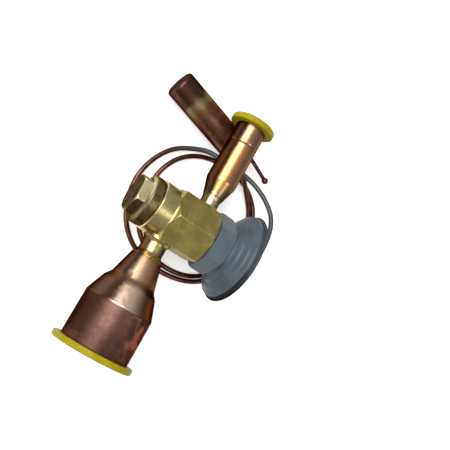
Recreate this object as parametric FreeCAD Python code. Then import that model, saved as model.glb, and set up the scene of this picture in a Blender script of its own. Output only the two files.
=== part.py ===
"""Thermostatic expansion valve with its power element, capillary coil and sensing bulb.

The valve lies on a bench as it comes out of its bag, with the capillary still coiled under it.
X runs along the two connectors (outlet on the +X side), Y along the valve's own axis (power
element on the +Y side) and Z is up.  Everything is built with the valve axis at x = 0, the outlet
at y = 0 and the bench at z = 0.  At the end the whole set is moved sideways, so that the origin
lies under the middle of its bounding box.
"""
import FreeCAD, Part
import os
from math import cos, pi, radians, sin, sqrt, tan

V = FreeCAD.Vector

# Fits and play, mm
RUNNING = 0.05           # radial play of what turns or slides
PLUG_PLAY = 0.10         # radial play of a moulded plug in its socket
LYING_GAP = 0.05         # between pieces that only lie against each other

# Body, turned from hexagonal brass bar; Y positions count from the outlet's axis
BODY_FLATS = 24.0
HEX_START = -3.1         # where the hexagon begins, on the cap side
HEX_LENGTH = 21.4
ROUND_UNDER_FLATS = 0.1  # the round part is turned this much under the flats
ROUND_LENGTH = 7.5
ROUND_TO_HEX = 1.8       # length over which the round part opens to the hexagon's corners
CHAMBER_R = 5.2          # spring chamber, bored right through the cap end
CHAMBER_END = 5.0
THROAT_R = 2.2
CAP_THREAD_R = 7.0
CAP_THREAD_LENGTH = 6.6
HEAD_THREAD_R = 9.8
HEAD_THREAD_LENGTH = 8.4
CORNER_CUT = 0.8         # length of the lathe's cut on a hexagon's corners

# Connectors
INLET_Y = 12.4
OUTLET_BORE_R = 3.8
OUTLET_NECK_R = 5.5
OUTLET_NECK_LENGTH = 8.8       # from the body's flat to the copper
OUTLET_REACH = 64.4            # mouth from the valve axis
OUTLET_SOCKET_R = 14.35        # for 28.6 mm tube
OUTLET_SOCKET_WALL = 1.15
OUTLET_SOCKET_DEPTH = 18.2
OUTLET_STEPS = [(11.6, 10.15), (14.4, 12.3)]   # swaged steps: from the brass, outside radius
INLET_BORE_R = 3.0
INLET_NECK_R = 4.3
INLET_NECK_LENGTH = 5.8
INLET_REACH = 54.2
INLET_SOCKET_R = 6.40          # for 12.7 mm tube
INLET_SOCKET_WALL = 0.75
INLET_SOCKET_DEPTH = 9.2
INLET_TAPER = 7.4              # length of the necked-down end
COPPER_WALL = 1.1
SPIGOT_DEPTH = 4.0             # how far each nipple goes into body and copper

# Dust plugs
OUTLET_FLANGE_R = 18.6
OUTLET_FLANGE_T = 2.7
OUTLET_PLUG_DEPTH = 12.0
INLET_FLANGE_R = 10.6
INLET_FLANGE_T = 3.0
INLET_PLUG_DEPTH = 7.5
PLUG_WALL = 1.6

# Seal cap and adjusting stem
CAP_WALL = 1.15                # beside the thread, at the hexagon's flats
CAP_TURN = 12.0                # degrees that the cap's hexagon stands turned
CAP_LENGTH = 8.8
CAP_END_WALL = 2.2
CAP_COLLAR_R = 11.4            # round collar at the cap's rim
CAP_COLLAR_LENGTH = 3.8
CAP_CONE_LENGTH = 1.0          # from the hexagon up to the collar
GASKET_T = 0.8
STEM_R = 2.0
STEM_THREAD_R = 1.75
STEM_SQUARE = 3.0
STEM_COLLAR_R = 3.6
GLAND_LENGTH = 5.0
GLAND_DEPTH = 2.6              # from the spigot's end to the gland
STEM_SHORT = 0.3               # the square's end, inside the spigot's end
O_RING_WIRE_R = 0.5

# Spring, pin and pushrods
SPRING_R = 3.4                 # middle of the wire
SPRING_WIRE_R = 0.45
SPRING_LENGTH = 7.0
SPRING_TURNS = 4.5
SEAT_NUT_PLAY = 0.5            # in the chamber
SEAT_NUT_T = 1.6
CARRIER_PLAY = 0.6             # in the chamber, so that the liquid can pass
CARRIER_T = 2.8
PIN_R = 1.3
ORIFICE_R = 1.1
SEAT_R = 3.0
SEAT_T = 3.0
PUSHROD_R = 0.8
PUSHROD_OFFSET = 4.2

# Power element
ELEMENT_R = 21.9               # far cover's rim
RIM_STEP = 1.0                 # the near cover's rim is this much smaller
COLLAR_FLATS = 24.6
COLLAR_TURN = -5.0             # degrees that the collar stands turned
COLLAR_LENGTH = 8.9
COVER_T = 1.2
BEADS = [0.727, 0.753, 0.865, 0.891, 0.988]    # radii of the dish's steps, as shares of its rim
DISH_DEPTH = 6.7               # collar's end face to the rim's near face
RIM_T = 1.5                    # each cover's rim
DIAPHRAGM_T = 0.2
DOME_DEPTH = 2.8
BOSS_R = 2.6
BOSS_LENGTH = 1.8

# Capillary, bulb and fill tube
CAPILLARY_R = 1.2
CAPILLARY_BORE_R = 0.5
BULB_R = 7.1
BULB_LENGTH = 41.2
BULB_WALL = 1.0
BULB_TURN = 13.0               # degrees between the bulb and Y
BULB_PAST_INLET = 3.6          # bulb's end beyond the inlet's axis
BULB_CLEAR = 0.3               # between the bulb and the inlet plug's flange
END_SPREAD = 3.0               # capillary and fill tube, each side of the bulb's axis
FILL_TUBE_R = 0.95
FILL_TUBE_LENGTH = 22.5
FILL_BLOB_R = 1.6

# The coil on the bench: reach from its centre at each eighth of a turn, starting on the inlet side
COIL_CENTRE_X = -10.0
COIL_BEHIND_RIM = 16.8         # centre, from the element's rim towards the cap
COIL_REACHES = [29.0, 32.3, 34.6, 32.7, 30.8, 30.6, 31.1, 31.0, 29.0,
                27.8, 27.0, 27.5, 28.2, 28.0, 28.5, 28.4, 28.4]
COIL_START = 120.0             # degrees from +Y, counted towards the inlet side
COIL_END = 755.0
COIL_STEPS = 32
COIL_SQUARENESS = 0.88

# Worked out from the above
ROUND_R = BODY_FLATS/2 - ROUND_UNDER_FLATS
OUTLET_TUBE_R = OUTLET_SOCKET_R + OUTLET_SOCKET_WALL
INLET_TUBE_R = INLET_SOCKET_R + INLET_SOCKET_WALL
CAP_FLATS = 2*(CAP_THREAD_R + RUNNING + CAP_WALL)
SEAT_NUT_R = CHAMBER_R - SEAT_NUT_PLAY
CARRIER_R = CHAMBER_R - CARRIER_PLAY
AXIS_Z = max(ELEMENT_R, OUTLET_FLANGE_R + LYING_GAP, 2*BULB_R + LYING_GAP + INLET_TUBE_R)
FLAT_X = BODY_FLATS/2
ROUND_START = HEX_START - ROUND_LENGTH
HEX_END = HEX_START + HEX_LENGTH
SPIGOT_END = ROUND_START - CAP_THREAD_LENGTH
CAP_RIM = ROUND_START - GASKET_T
CAP_END = CAP_RIM - CAP_LENGTH
GLAND_OUTER = SPIGOT_END + GLAND_DEPTH
GLAND_INNER = GLAND_OUTER + GLAND_LENGTH
CARRIER_TOP = CHAMBER_END - 1.6
CARRIER_FOOT = CARRIER_TOP - CARRIER_T
SEAT_NUT_TOP = CARRIER_FOOT - SPRING_LENGTH
COLLAR_START = HEX_END + 0.4
COLLAR_END = COLLAR_START + COLLAR_LENGTH
DISH_R = ELEMENT_R - RIM_STEP
RIM_Y = COLLAR_END + DISH_DEPTH
DIAPHRAGM_Y = RIM_Y + RIM_T
UPPER_RIM_Y = DIAPHRAGM_Y + DIAPHRAGM_T
DOME_TOP = UPPER_RIM_Y + RIM_T + DOME_DEPTH
HUB_FOOT = HEX_END + HEAD_THREAD_LENGTH + 1.8
COIL_CENTRE_Y = RIM_Y - COIL_BEHIND_RIM


def rounded_path(points, radii, closed=False):
    """Straight runs through the points, joined by tangent arcs; a radius of 0 leaves a corner."""
    count = len(points)
    entries, exits, arcs = [], [], []
    for i, here in enumerate(points):
        if radii[i] == 0 or (not closed and i in (0, count - 1)):
            entries.append(here)
            exits.append(here)
            arcs.append(None)
            continue
        back = (points[i - 1] - here).normalize()
        ahead = (points[(i + 1) % count] - here).normalize()
        half = back.getAngle(ahead)/2
        reach = radii[i]/tan(half)
        middle = here + (back + ahead).normalize()*(radii[i]/sin(half) - radii[i])
        entries.append(here + back*reach)
        exits.append(here + ahead*reach)
        arcs.append(Part.Arc(entries[-1], middle, exits[-1]).toShape())
    edges = []
    for i in range(count):
        if arcs[i]:
            edges.append(arcs[i])
        following = (i + 1) % count
        if (closed or i < count - 1) and exits[i].distanceToPoint(entries[following]) > 1e-6:
            edges.append(Part.LineSegment(exits[i], entries[following]).toShape())
    return Part.Wire(Part.__sortEdges__(edges))


def turned(profile, direction, y=0.0):
    """Turned piece from a closed outline of (along, radius[, blend]) points.

    The axis runs along the direction at the valve's height; y shifts it to a connector.
    """
    origin = V(0, y, AXIS_Z)
    points = [origin + direction*p[0] + V(0, 0, p[1]) for p in profile]
    blends = [p[2] if len(p) > 2 else 0 for p in profile]
    face = Part.Face(rounded_path(points, blends, closed=True))
    return face.revolve(origin, direction, 360)


def rod(radius, start, end, direction, y=0.0):
    """Plain cylinder between two positions along an axis."""
    base = V(0, y, AXIS_Z) + direction*start
    return Part.makeCylinder(radius, end - start, base, direction)


def hexagon(flats, turn, outline):
    """Hexagonal bar along Y, turned on the lathe to an outline of (along, radius[, blend]) points."""
    corner_r = corner_radius(flats) - 0.02
    start, end = outline[0][0], outline[-1][0]
    ring = [V(corner_r*cos(radians(60*i + turn)), start, AXIS_Z + corner_r*sin(radians(60*i + turn)))
            for i in range(6)]
    prism = Part.Face(Part.makePolygon(ring + ring[:1])).extrude(V(0, end - start, 0))
    return prism.common(turned([(start, 0)] + outline + [(end, 0)], Y))


def corner_radius(flats):
    """Radius over the corners, a little outside them so that they stay as they are."""
    return flats/2/cos(radians(30)) + 0.02


def cut_corners(flats, start, end, cut):
    """Outline that takes a hexagon's corners down at both ends."""
    corner_r = corner_radius(flats)
    return [(start, corner_r - 1.9*cut, 0.5*cut), (start + cut, corner_r, 2.0*cut),
            (end - cut, corner_r, 2.0*cut), (end, corner_r - 1.9*cut, 0.5*cut)]


X, Y = V(1, 0, 0), V(0, 1, 0)
INLET_WAY = V(-1, 0, 0)


def valve_body():
    """Hexagonal body with its two threaded ends, the spring chamber and the two ports."""
    corner_r = corner_radius(BODY_FLATS)
    body = hexagon(BODY_FLATS, 30, [
        (ROUND_START, ROUND_R, 0.7), (HEX_START, ROUND_R, 1.5), (HEX_START + ROUND_TO_HEX, corner_r, 1.5),
        (HEX_END - CORNER_CUT, corner_r, 2.0), (HEX_END, corner_r - 1.9*CORNER_CUT, 0.5)])
    body = body.fuse(turned([
        (SPIGOT_END, 0), (SPIGOT_END, CAP_THREAD_R - 0.6), (SPIGOT_END + 0.6, CAP_THREAD_R),
        (ROUND_START - 1.6, CAP_THREAD_R), (ROUND_START - 1.3, CAP_THREAD_R - 0.35),
        (ROUND_START + 1, CAP_THREAD_R - 0.35), (ROUND_START + 1, 0)], Y))
    head_end = HEX_END + HEAD_THREAD_LENGTH
    body = body.fuse(turned([
        (HEX_END - 1, 0), (HEX_END - 1, HEAD_THREAD_R), (head_end - 0.8, HEAD_THREAD_R),
        (head_end, HEAD_THREAD_R - 0.8), (head_end, 0)], Y))
    cuts = [rod(CHAMBER_R, SPIGOT_END - 1, CHAMBER_END, Y),
            rod(SEAT_R, CHAMBER_END - 1, CHAMBER_END + SEAT_T, Y),
            rod(THROAT_R, CHAMBER_END, INLET_Y + 1.5, Y),
            rod(OUTLET_BORE_R, 0, FLAT_X + 2, X),
            rod(OUTLET_NECK_R, FLAT_X - SPIGOT_DEPTH, FLAT_X + 2, X),
            rod(OUTLET_NECK_R + 1.1, FLAT_X - 1.2, FLAT_X + 2, X),
            rod(INLET_BORE_R, 0, FLAT_X + 2, INLET_WAY, INLET_Y),
            rod(INLET_NECK_R, FLAT_X - SPIGOT_DEPTH, FLAT_X + 2, INLET_WAY, INLET_Y)]
    for side in (-1, 1):
        cuts.append(rod(PUSHROD_R + RUNNING, CHAMBER_END - 1, head_end + 1, Y)
                    .translated(V(0, 0, side*PUSHROD_OFFSET)))
    for cut in cuts:
        body = body.cut(cut)
    return body.removeSplitter()


def outlet_nipple():
    """Brass nipple brazed into the body, flared where the copper starts."""
    seam = FLAT_X + OUTLET_NECK_LENGTH
    return turned([
        (FLAT_X - SPIGOT_DEPTH, OUTLET_BORE_R), (FLAT_X - SPIGOT_DEPTH, OUTLET_NECK_R),
        (FLAT_X - 1.2, OUTLET_NECK_R), (FLAT_X - 1.2, OUTLET_NECK_R + 1.1),
        (FLAT_X + 0.25, OUTLET_NECK_R + 1.1, 0.2), (FLAT_X + 1.7, OUTLET_NECK_R, 1.6),
        (seam - 2.4, OUTLET_NECK_R, 3.0), (seam, OUTLET_NECK_R + 1.45, 0.3),
        (seam, OUTLET_NECK_R - 0.5), (seam + SPIGOT_DEPTH, OUTLET_NECK_R - 0.5),
        (seam + SPIGOT_DEPTH, OUTLET_BORE_R)], X)


def outlet_reducer():
    """Copper connector swaged up in three steps from the nipple to the socket."""
    seam = FLAT_X + OUTLET_NECK_LENGTH
    small = OUTLET_NECK_R + 1.6
    socket = OUTLET_REACH - OUTLET_SOCKET_DEPTH
    wall = COPPER_WALL
    (crease, crease_r), (shoulder, shoulder_r) = [(seam + step, r) for step, r in OUTLET_STEPS]
    return turned([
        (seam, OUTLET_NECK_R - 0.5), (seam, small, 0.4),
        (crease, crease_r, 2.2), (shoulder, shoulder_r, 1.6),
        (socket - 2.4, OUTLET_TUBE_R, 2.2), (OUTLET_REACH, OUTLET_TUBE_R, 0.3),
        (OUTLET_REACH, OUTLET_SOCKET_R), (socket, OUTLET_SOCKET_R), (socket, OUTLET_SOCKET_R - 0.6),
        (socket - 1.8, OUTLET_TUBE_R - wall - 0.9, 1.0), (shoulder + 0.9, shoulder_r - wall, 1.0),
        (crease + 0.6, crease_r - wall, 1.0), (seam + SPIGOT_DEPTH + 1.5, OUTLET_NECK_R + 0.9),
        (seam + SPIGOT_DEPTH + 0.6, OUTLET_NECK_R - 0.5)], X)


def inlet_nipple():
    """Small brass nipple for the inlet."""
    seam = FLAT_X + INLET_NECK_LENGTH
    return turned([
        (FLAT_X - SPIGOT_DEPTH, INLET_BORE_R), (FLAT_X - SPIGOT_DEPTH, INLET_NECK_R),
        (FLAT_X, INLET_NECK_R), (FLAT_X, INLET_NECK_R + 0.9, 0.2), (FLAT_X + 1.1, INLET_NECK_R, 1.2),
        (seam - 1.6, INLET_NECK_R, 2.0), (seam, INLET_NECK_R + 0.55, 0.2), (seam, INLET_NECK_R - 0.5),
        (seam + SPIGOT_DEPTH, INLET_NECK_R - 0.5), (seam + SPIGOT_DEPTH, INLET_BORE_R)],
        INLET_WAY, INLET_Y)


def inlet_tube():
    """Copper inlet connector: a necked-down end, a long tube and the socket behind a rolled stop."""
    seam = FLAT_X + INLET_NECK_LENGTH
    full = seam + INLET_TAPER
    socket = INLET_REACH - INLET_SOCKET_DEPTH
    wall = COPPER_WALL
    return turned([
        (seam, INLET_NECK_R - 0.5), (seam, INLET_NECK_R + 0.7, 0.3), (seam + 1.2, INLET_NECK_R + 0.9, 2.0),
        (full, INLET_TUBE_R, 4.0),
        (socket - 0.8, INLET_TUBE_R, 0.3), (socket, INLET_TUBE_R - 0.22, 0.3),
        (socket + 0.8, INLET_TUBE_R, 0.3), (INLET_REACH, INLET_TUBE_R, 0.25),
        (INLET_REACH, INLET_SOCKET_R), (socket, INLET_SOCKET_R), (socket - 0.5, INLET_SOCKET_R - 0.6),
        (full + 0.6, INLET_TUBE_R - wall - 0.25, 3.0), (seam + SPIGOT_DEPTH + 0.8, INLET_NECK_R + 0.2),
        (seam + SPIGOT_DEPTH, INLET_NECK_R - 0.5)], INLET_WAY, INLET_Y)


def inlet_strainer():
    """Conical screen in a ring, held in the inlet tube."""
    ring_r = INLET_TUBE_R - COPPER_WALL - 0.25
    foot = INLET_REACH - INLET_SOCKET_DEPTH - 3.0
    return turned([
        (foot, ring_r - 0.8), (foot, ring_r - 0.02), (foot - 2.2, ring_r - 0.02), (foot - 2.2, ring_r - 0.7),
        (foot - 11.0, 1.6, 0.6), (foot - 11.8, 0), (foot - 11.4, 0), (foot - 10.8, 1.3, 0.5),
        (foot - 2.2, ring_r - 1.1), (foot - 1.6, ring_r - 0.8)], INLET_WAY, INLET_Y)


def dust_plug(direction, y, reach, socket_r, flange_r, flange_t, depth):
    """Moulded plug: a flange outside, a hollow stem with a lead-in inside the socket."""
    stem_r = socket_r - PLUG_PLAY
    return turned([
        (reach - depth + 1.2, 0), (reach - depth + 1.2, stem_r - PLUG_WALL, 0.6),
        (reach + flange_t - 0.8, stem_r - PLUG_WALL - 0.1), (reach + flange_t, stem_r - PLUG_WALL + 0.7, 0.3),
        (reach + flange_t, flange_r, 0.9), (reach, flange_r, 0.5), (reach, stem_r),
        (reach - depth + 1.4, stem_r, 0.5), (reach - depth, stem_r - 0.8, 0.5), (reach - depth, 0)],
        direction, y)


def seal_cap():
    """Cap over the adjusting stem: a short hexagon for the wrench and a round collar at the rim."""
    collar = CAP_RIM - CAP_COLLAR_LENGTH
    corner_r = corner_radius(CAP_FLATS)
    cap = hexagon(CAP_FLATS, CAP_TURN, cut_corners(CAP_FLATS, CAP_END, collar + 1.0, 0.6))
    cap = cap.fuse(turned([
        (collar - CAP_CONE_LENGTH, 0), (collar - CAP_CONE_LENGTH, corner_r + 0.1),
        (collar, CAP_COLLAR_R, 0.5), (CAP_RIM, CAP_COLLAR_R, 0.3), (CAP_RIM, 0)], Y))
    hollow = turned([
        (CAP_END + CAP_END_WALL, 0), (CAP_END + CAP_END_WALL, CAP_THREAD_R - 0.5),
        (CAP_END + CAP_END_WALL + 0.5, CAP_THREAD_R + RUNNING),
        (CAP_RIM - 0.5, CAP_THREAD_R + RUNNING), (CAP_RIM + 0.1, CAP_THREAD_R + 0.7), (CAP_RIM + 0.1, 0)], Y)
    return cap.cut(hollow).removeSplitter()


def cap_gasket():
    """Flat ring between the cap's rim and the body's shoulder, set back from both."""
    outer = CAP_COLLAR_R - 1.0
    return turned([(CAP_RIM, CAP_THREAD_R + 0.2), (CAP_RIM, outer, 0.15), (ROUND_START, outer, 0.15),
                   (ROUND_START, CAP_THREAD_R + 0.2)], Y)


def stem_gland():
    """Gland screwed into the cap end, with two key slots and the groove for the stem's seal."""
    bore = STEM_R + RUNNING
    groove = STEM_R + 2*O_RING_WIRE_R + 2*RUNNING
    middle = (GLAND_OUTER + GLAND_INNER)/2
    gland = turned([
        (GLAND_OUTER, bore), (GLAND_OUTER, CHAMBER_R - 0.4), (GLAND_OUTER + 0.4, CHAMBER_R),
        (GLAND_INNER, CHAMBER_R), (GLAND_INNER, bore), (middle + 0.65, bore), (middle + 0.65, groove),
        (middle - 0.65, groove), (middle - 0.65, bore)], Y)
    slot = Part.makeBox(2*CHAMBER_R + 1, 1.2, 1.4, V(-CHAMBER_R - 0.5, GLAND_OUTER - 0.1, AXIS_Z - 0.7))
    return gland.cut(slot)


def stem_o_ring():
    """Seal around the stem, in the gland's groove."""
    middle = (GLAND_OUTER + GLAND_INNER)/2
    ring = Part.makeTorus(STEM_R + O_RING_WIRE_R + RUNNING, O_RING_WIRE_R, V(0, middle, AXIS_Z), Y)
    return ring


def adjusting_stem():
    """Stem with a square for the key, a thrust collar and the thread that carries the spring seat."""
    collar = GLAND_INNER + RUNNING
    square_end = SPIGOT_END + STEM_SHORT
    stem = turned([
        (GLAND_OUTER - 0.6, 0), (GLAND_OUTER - 0.6, STEM_R, 0.2), (collar, STEM_R),
        (collar, STEM_COLLAR_R, 0.15), (collar + 1.0, STEM_COLLAR_R, 0.15), (collar + 1.0, STEM_THREAD_R),
        (SEAT_NUT_TOP + 3.2, STEM_THREAD_R, 0.3), (SEAT_NUT_TOP + 3.2, 0)], Y)
    square = Part.makeBox(STEM_SQUARE, GLAND_OUTER - 0.5 - square_end, STEM_SQUARE,
                          V(-STEM_SQUARE/2, square_end, AXIS_Z - STEM_SQUARE/2))
    ends = turned([(square_end, 0), (square_end, STEM_SQUARE*0.5), (square_end + 0.6, STEM_SQUARE*0.68),
                   (GLAND_OUTER, STEM_SQUARE*0.68), (GLAND_OUTER, 0)], Y)
    return stem.fuse(square.common(ends)).removeSplitter()


def spring_seat():
    """Nut that rides on the stem's thread and carries the spring."""
    bore = STEM_THREAD_R + RUNNING
    hub = SPRING_R - SPRING_WIRE_R - 0.35
    return turned([
        (SEAT_NUT_TOP - SEAT_NUT_T, bore), (SEAT_NUT_TOP - SEAT_NUT_T, SEAT_NUT_R, 0.3),
        (SEAT_NUT_TOP, SEAT_NUT_R, 0.2), (SEAT_NUT_TOP, hub), (SEAT_NUT_TOP + 1.4, hub, 0.4),
        (SEAT_NUT_TOP + 1.4, bore)], Y)


def superheat_spring():
    """Coil spring with ground ends between the seat and the pin carrier."""
    start, end = SEAT_NUT_TOP + LYING_GAP/2, CARRIER_FOOT - LYING_GAP/2
    pitch = (end - start)/SPRING_TURNS
    helix = Part.makeHelix(pitch, end - start, SPRING_R)
    section = Part.Wire(Part.makeCircle(SPRING_WIRE_R, V(SPRING_R, 0, 0), V(0, 1, pitch/(2*pi*SPRING_R))))
    coil = Part.Wire(helix.Edges).makePipeShell([section], True, True)
    coil = coil.rotated(V(0, 0, 0), V(1, 0, 0), -90).translated(V(0, start, AXIS_Z))
    return coil.common(rod(SPRING_R + 1, start, end, Y))


def pin_carrier():
    """Carrier that the spring pushes towards the seat, flatted so that the liquid can pass."""
    foot = CARRIER_FOOT - 1.5
    hub = SPRING_R - SPRING_WIRE_R - 0.35
    carrier = turned([
        (foot, PIN_R), (foot, hub, 0.4), (CARRIER_FOOT, hub), (CARRIER_FOOT, CARRIER_R, 0.2),
        (CARRIER_TOP, CARRIER_R, 0.3), (CARRIER_TOP, PIN_R)], Y)
    window = Part.makeBox(CARRIER_R*1.6, CARRIER_T + 4, 3*CARRIER_R,
                          V(-CARRIER_R*0.8, foot - 1, AXIS_Z - 1.5*CARRIER_R))
    return carrier.common(window)


def valve_pin():
    """Hard pin whose cone meters the flow."""
    tip = CHAMBER_END + 1.6
    return turned([(CARRIER_FOOT - 1.5, 0), (CARRIER_FOOT - 1.5, PIN_R), (CARRIER_TOP + 0.8, PIN_R),
                   (tip, PIN_R*0.27, 0.1), (tip, 0)], Y)


def valve_seat():
    """Hard seat ring pressed into the body, with the orifice that the pin closes."""
    return turned([
        (CHAMBER_END, ORIFICE_R + 0.12), (CHAMBER_END, SEAT_R), (CHAMBER_END + SEAT_T, SEAT_R),
        (CHAMBER_END + SEAT_T, ORIFICE_R + 0.5), (CHAMBER_END + SEAT_T - 0.6, ORIFICE_R),
        (CHAMBER_END + 0.3, ORIFICE_R)], Y)


def push_rod(side):
    """Rod from the buffer plate down to the pin carrier."""
    return rod(PUSHROD_R, CARRIER_TOP, HUB_FOOT, Y).translated(V(0, 0, side*PUSHROD_OFFSET))


def buffer_plate():
    """Plate that passes the diaphragm's force on to the pushrods."""
    return turned([
        (HUB_FOOT, 0), (HUB_FOOT, PUSHROD_OFFSET + 1.5, 0.3), (DIAPHRAGM_Y - 1.2, PUSHROD_OFFSET + 1.5, 0.6),
        (DIAPHRAGM_Y - 1.2, DISH_R*0.46, 0.3), (DIAPHRAGM_Y, DISH_R*0.44, 0.3), (DIAPHRAGM_Y, 0)], Y)


def diaphragm():
    """Thin corrugated disc clamped between the covers' rims."""
    clamp = DISH_R - 2.6
    middle = DISH_R*0.47
    wave = 0.35
    near = [(DIAPHRAGM_Y, 0), (DIAPHRAGM_Y, middle)]
    step = (clamp - middle)/6
    for i in range(1, 6):
        near.append((DIAPHRAGM_Y + (wave if i % 2 else 0), middle + i*step, 0.5))
    near += [(DIAPHRAGM_Y, clamp), (DIAPHRAGM_Y, DISH_R - 0.6)]
    far = [(p[0] + DIAPHRAGM_T,) + p[1:] for p in reversed(near)]
    return turned(near + far, Y)


def element_gasket():
    """Seal ring between the body's end and the element's collar."""
    outer = HEAD_THREAD_R + 1.3
    return turned([(HEX_END, HEAD_THREAD_R), (HEX_END, outer), (COLLAR_START, outer),
                   (COLLAR_START, HEAD_THREAD_R)], Y)


def element_collar():
    """Hexagonal collar that screws the power element on to the body."""
    collar = hexagon(COLLAR_FLATS, COLLAR_TURN, cut_corners(COLLAR_FLATS, COLLAR_START, COLLAR_END, 0.9))
    return collar.cut(rod(HEAD_THREAD_R, COLLAR_START - 1, COLLAR_END + 1, Y))


def element_lower_cover():
    """Pressed dish between the collar and the rim, with the ring beads of its die."""
    neck_r = COLLAR_FLATS/2 + 0.7
    beads = [DISH_R*share for share in BEADS]
    t = COVER_T
    return turned([
        (COLLAR_END, HEAD_THREAD_R), (COLLAR_END, neck_r - 0.9, 0.5), (COLLAR_END + 1.0, neck_r, 0.6),
        (COLLAR_END + 2.3, beads[0], 1.0), (COLLAR_END + 3.1, beads[1], 0.8),
        (COLLAR_END + 4.3, beads[2], 1.0), (COLLAR_END + 5.1, beads[3], 0.8),
        (RIM_Y - 0.3, beads[4], 0.9), (RIM_Y + 0.6, DISH_R, 0.6), (DIAPHRAGM_Y, DISH_R),
        (DIAPHRAGM_Y, DISH_R - 2.6, 0.3),
        (COLLAR_END + 5.1 + t*0.4, beads[3] - t*1.35, 1.2), (COLLAR_END + 2.3 + t, beads[0] - 1.5, 1.5),
        (COLLAR_END + t, HEAD_THREAD_R + 0.6), (COLLAR_END + t, HEAD_THREAD_R)], Y)


def element_upper_cover():
    """Domed far cover of the element, with the hole for the capillary."""
    back = UPPER_RIM_Y + RIM_T
    hole = CAPILLARY_R
    return turned([
        (UPPER_RIM_Y, DISH_R - 2.6, 0.3), (UPPER_RIM_Y, DISH_R - 0.6), (DIAPHRAGM_Y, DISH_R - 0.6),
        (DIAPHRAGM_Y, DISH_R + 0.2), (UPPER_RIM_Y + 0.4, ELEMENT_R, 0.6), (back - 0.5, ELEMENT_R, 0.5),
        (back, ELEMENT_R - 1.2, 0.4),
        (back, ELEMENT_R - 3.4, 0.8), (DOME_TOP - 0.5, ELEMENT_R*0.62, 3.0), (DOME_TOP, ELEMENT_R*0.3, 3.0),
        (DOME_TOP, hole), (DOME_TOP - COVER_T, hole), (DOME_TOP - COVER_T, ELEMENT_R*0.3, 2.0),
        (DOME_TOP - COVER_T - 0.6, ELEMENT_R*0.6, 2.0), (back - 0.6, ELEMENT_R - 4.4, 0.6)], Y)


def capillary_boss():
    """Brazed collar where the capillary enters the element."""
    return turned([(DOME_TOP, CAPILLARY_R), (DOME_TOP, BOSS_R + 0.5, 0.2), (DOME_TOP + 0.6, BOSS_R, 0.5),
                   (DOME_TOP + BOSS_LENGTH, BOSS_R - 0.9, 0.4), (DOME_TOP + BOSS_LENGTH, CAPILLARY_R)], Y)


def bulb_place():
    """Middle of the bulb's capillary end, and the direction of its axis towards that end."""
    turn = radians(BULB_TURN)
    along = V(sin(turn), cos(turn), 0)
    under_flange = AXIS_Z - INLET_FLANGE_R - BULB_R
    half = sqrt(max(0.0, BULB_R**2 - max(0.0, under_flange - BULB_CLEAR)**2))
    at_inlet = V(-INLET_REACH + half/cos(turn), INLET_Y, BULB_R)
    return at_inlet + along*(BULB_PAST_INLET/cos(turn)), along


def bulb_side(offset):
    """Point on the bulb's capillary end, offset from its axis towards the coil."""
    end, along = bulb_place()
    return end + V(along.y, -along.x, 0)*offset


def bulb_turned(profile):
    """Turned piece on the bulb's axis, its positions counted back from the capillary end."""
    end, along = bulb_place()
    points = [end - along*p[0] + V(0, 0, p[1]) for p in profile]
    wire = rounded_path(points, [p[2] if len(p) > 2 else 0 for p in profile], closed=True)
    return Part.Face(wire).revolve(end, along, 360)


def bulb_shell():
    """Copper bulb, closed at one end and drawn in slightly over its end plug."""
    inner = BULB_R - BULB_WALL
    return bulb_turned([
        (0, inner), (0, BULB_R, 1.0), (BULB_LENGTH, BULB_R, 1.5), (BULB_LENGTH, 0),
        (BULB_LENGTH - 1.4, 0), (BULB_LENGTH - 1.4, inner, 0.8)])


def bulb_end_plug():
    """Disc brazed into the bulb's open end, drilled for the capillary and the fill tube."""
    plug = bulb_turned([(-0.6, 0), (-0.6, BULB_R - BULB_WALL - 0.8, 0.4), (0.2, BULB_R - BULB_WALL),
                        (2.4, BULB_R - BULB_WALL), (2.4, 0)])
    _, along = bulb_place()
    for side, hole in ((1, CAPILLARY_R), (-1, FILL_TUBE_R)):
        start = bulb_side(side*END_SPREAD) - along*5
        plug = plug.cut(Part.makeCylinder(hole, 8, start, along))
    return plug


def coil_reach(angle):
    """Reach of the coil at an angle, between the two listed on each side of it."""
    place = (angle - 90)/45
    listed = max(0, min(int(place), len(COIL_REACHES) - 2))
    share = place - listed
    return COIL_REACHES[listed]*(1 - share) + COIL_REACHES[listed + 1]*share


def coil_points():
    """The turns that lie on the bench, slightly squarer than an ellipse."""
    points = []
    for i in range(COIL_STEPS + 1):
        angle = COIL_START + (COIL_END - COIL_START)*i/COIL_STEPS
        reach = coil_reach(angle)
        across, along = sin(radians(angle)), cos(radians(angle))
        square = (abs(across)**(2/COIL_SQUARENESS) + abs(along)**(2/COIL_SQUARENESS))**(-COIL_SQUARENESS/2)
        points.append(V(COIL_CENTRE_X - reach*across*square, COIL_CENTRE_Y + reach*along*square, CAPILLARY_R))
    return points


def capillary_route():
    """Route of the capillary: out of the dome, down to the bench, round the coil and into the bulb."""
    exit_y = DOME_TOP - COVER_T
    lead_in = [V(0, exit_y, AXIS_Z), V(0, DOME_TOP + 5.8, AXIS_Z), V(-13.0, DOME_TOP + 7.4, AXIS_Z*0.99),
               V(-26.0, DOME_TOP + 6.0, AXIS_Z*0.86), V(-34.0, DOME_TOP - 1.6, AXIS_Z*0.66),
               V(-38.6, DOME_TOP - 12.2, AXIS_Z*0.46), V(-38.7, DOME_TOP - 24.0, AXIS_Z*0.28),
               V(-40.2, COIL_CENTRE_Y - 9.5, AXIS_Z*0.13)]
    turns = coil_points()
    _, along = bulb_place()
    side = bulb_side(END_SPREAD)
    entry = side + along*8
    last = turns[-1]
    lead_out = [V(last.x*0.62 + entry.x*0.38, last.y*0.62 + entry.y*0.38 + 0.8, 2.6),
                V(last.x*0.25 + entry.x*0.75, last.y*0.25 + entry.y*0.75 + 0.6, 4.9),
                entry, side - along*2.0]
    return lead_in + turns + lead_out


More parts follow.
